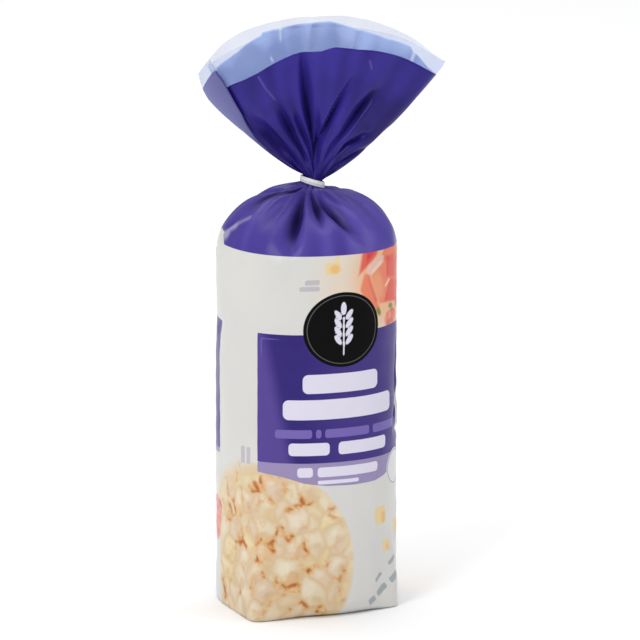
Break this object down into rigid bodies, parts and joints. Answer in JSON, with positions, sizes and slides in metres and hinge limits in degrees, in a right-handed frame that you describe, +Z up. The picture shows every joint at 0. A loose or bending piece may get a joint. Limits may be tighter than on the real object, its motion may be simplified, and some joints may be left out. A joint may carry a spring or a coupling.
{
  "type": "bag of rice cakes",
  "caption": "Tall printed film bag round a stack of puffed rice cakes, standing on a flat folded base, tied at the neck, with an open fanned frill above the tie",
  "frame": {"origin": "centre of the bag's flat base, on the axis of the stack", "axes": "+Z is up along the stack, the front of the printed pack faces -Y, +X is to the right of the front"},
  "size_m": [0.1311, 0.0964, 0.3201],
  "materials": {
    "film": "printed glossy plastic film, purple dome and frill, white wall",
    "strip": "white plastic-covered wire strip"
  },
  "bodies": {
    "root": {"bag": "film", "tie": "strip"}
  },
  "joints": []
}
